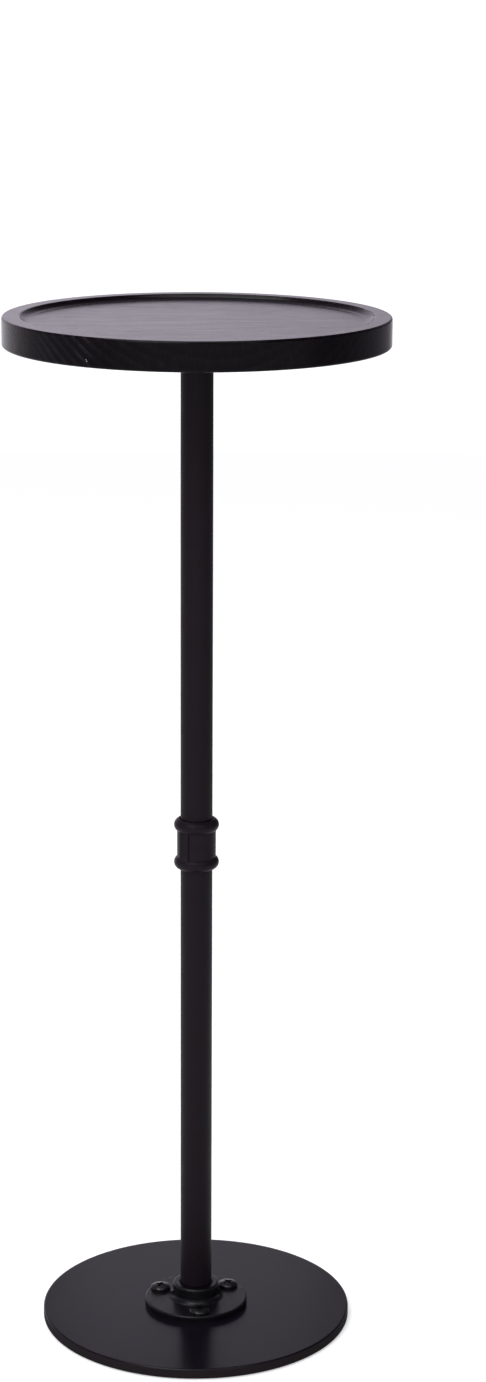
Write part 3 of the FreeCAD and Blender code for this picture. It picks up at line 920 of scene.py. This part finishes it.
def lay_floor(studio):
    """A wide pale floor that looks white, keeps the table's shadow and is clear from below."""
    bpy.ops.object.select_all(action="DESELECT")
    bpy.ops.mesh.primitive_circle_add(
        vertices=FLOOR_SIDES, radius=studio.floor_radius, fill_type="NGON",
        location=(0.0, 0.0, -FLOOR_GAP),
    )
    floor = bpy.context.object
    floor.name = "studio_floor"
    material = bpy.data.materials.new("studio_floor")
    tree = empty_tree(material)
    shade = put(tree, "ShaderNodeBsdfDiffuse", Color=rgba(studio.floor_colour))
    glow = put(tree, "ShaderNodeEmission", Color=rgba(WHITE))
    place = put(tree, "ShaderNodeTexCoord").outputs["Object"]
    reach = vector_maths(tree, "LENGTH", place)
    level = ramp(tree, reach, 0.0, studio.far_reach, studio.floor_glow, studio.far_glow, smooth=False)
    side = dimmed_sides(tree, place, studio, BACK_RIGHT, FLOOR_BAND)
    away = ramp(tree, reach, *LIT_REACH)
    side = maths(tree, "MULTIPLY_ADD", away, maths(tree, "SUBTRACT", side, 1.0), 1.0)
    path = put(tree, "ShaderNodeLightPath")
    camera = path.outputs["Is Camera Ray"]
    level = maths(tree, "MULTIPLY", level, maths(tree, "MAXIMUM", side, camera))
    white = maths(tree, "MULTIPLY", camera, ramp(tree, reach, LIT_REACH[1], studio.far_reach))
    level = maths(tree, "MAXIMUM", level, white)
    fill(tree, glow.inputs["Strength"], maths(tree, "MULTIPLY", seen_plainly(path), level))
    both = tree.nodes.new("ShaderNodeAddShader")
    tree.links.new(shade.outputs[0], both.inputs[0])
    tree.links.new(glow.outputs[0], both.inputs[1])
    clear = tree.nodes.new("ShaderNodeBsdfTransparent")
    below = tree.nodes.new("ShaderNodeNewGeometry").outputs["Backfacing"]
    shown = mixed_shaders(tree, below, both, clear)
    output = tree.nodes.new("ShaderNodeOutputMaterial")
    tree.links.new(shown.outputs[0], output.inputs["Surface"])
    arrange(tree)
    floor.data.materials.append(material)


# Heights on the room's sphere between which the backdrop gives way to the ceiling
HORIZON_BAND = (0.26, 0.46)


def light_room(studio):
    """White backdrop round the horizon, a dimmer room above it."""
    world = bpy.data.worlds.new("studio_room")
    bpy.context.scene.world = world
    tree = empty_tree(world)
    place = put(tree, "ShaderNodeTexCoord").outputs["Generated"]
    height = put(tree, "ShaderNodeSeparateXYZ", Vector=place).outputs["Z"]
    strength = ramp(tree, height, *HORIZON_BAND, studio.horizon, studio.ceiling)
    strength = maths(tree, "MULTIPLY", strength, dimmed_sides(tree, place, studio, RIGHT, ROOM_BAND))
    room = put(tree, "ShaderNodeBackground", Color=rgba(studio.room_tint), Strength=strength)
    white = put(tree, "ShaderNodeBackground", Color=rgba(WHITE), Strength=1.0)
    seen = put(tree, "ShaderNodeLightPath").outputs["Is Camera Ray"]
    both = mixed_shaders(tree, seen, room, white)
    output = tree.nodes.new("ShaderNodeOutputWorld")
    tree.links.new(both.outputs[0], output.inputs["Surface"])
    arrange(tree)


def hang_light(name, place, size, power, tint):
    """A soft light that points at the middle of the table."""
    data = bpy.data.lights.new(name, "AREA")
    data.shape = "RECTANGLE"
    data.size, data.size_y = size
    data.energy = power
    data.color = tint
    lamp = bpy.data.objects.new(name, data)
    bpy.context.collection.objects.link(lamp)
    lamp.location = place
    lamp.rotation_euler = (TABLE_MIDDLE - Vector(place)).to_track_quat("-Z", "Y").to_euler()


class SetStage(bpy.types.Operator):
    """Lays the floor, hangs the lights and stands the camera"""

    bl_idname = "wine_table.set_stage"
    bl_label = "Set stage"

    def execute(self, context):
        studio = context.scene.wine_table.studio
        context.scene.view_settings.view_transform = "Standard"
        lay_floor(studio)
        light_room(studio)
        for name, place, side, power, tint in (
            ("key_softbox", studio.key_place, studio.key_size, studio.key_power, studio.key_tint),
            ("fill_softbox", studio.fill_place, studio.fill_size, studio.fill_power, WHITE),
            ("top_softbox", studio.top_place, studio.top_size, studio.top_power, WHITE),
        ):
            hang_light(name, place, (side, side), power, tint)
        card = (studio.card_width, studio.card_height)
        hang_light("back_card", studio.card_place, card, studio.card_power, studio.card_tint)
        set_camera(studio)
        return {"FINISHED"}


class WINE_TABLE_PT_looks(bpy.types.Panel):
    """Lists the table's pieces and their looks"""

    bl_idname = "WINE_TABLE_PT_looks"
    bl_label = "Wine table"
    bl_space_type = "VIEW_3D"
    bl_region_type = "UI"
    bl_category = "Wine table"

    def draw(self, context):
        table = context.scene.wine_table
        for operator, looks in PIECES:
            box = self.layout.box()
            box.operator(operator.bl_idname)
            group = getattr(table, looks)
            for name in group.__annotations__:
                box.prop(group, name)


PIECES = (
    (FinishTray, "tray"),
    (FinishPipes, "pipes"),
    (CutThread, "thread"),
    (FinishCoupling, "coupling"),
    (FinishFlanges, "flanges"),
    (FinishScrews, "screws"),
    (FinishPlate, "plate"),
    (TurnPlate, "plate_shape"),
    (FinishPads, "pads"),
    (SetStage, "studio"),
)
CLASSES = (
    TrayWood, PipeCoat, PipeThread, CouplingCoat, FlangeCoat, ScrewFinish, PlateCoat, PlateShape,
    PadRubber, Studio, WineTable,
    *(operator for operator, looks in PIECES),
    WINE_TABLE_PT_looks,
)


def register():
    """Makes the looks, operators and panel known to Blender."""
    for made in CLASSES:
        bpy.utils.register_class(made)
    bpy.types.Scene.wine_table = bpy.props.PointerProperty(type=WineTable)


def unregister():
    """Takes them out again."""
    del bpy.types.Scene.wine_table
    for made in reversed(CLASSES):
        bpy.utils.unregister_class(made)


def main():
    """Builds the looks in order."""
    register()
    for operator, looks in PIECES:
        group, name = operator.bl_idname.split(".")
        getattr(getattr(bpy.ops, group), name)()


if __name__ == "__main__":
    main()
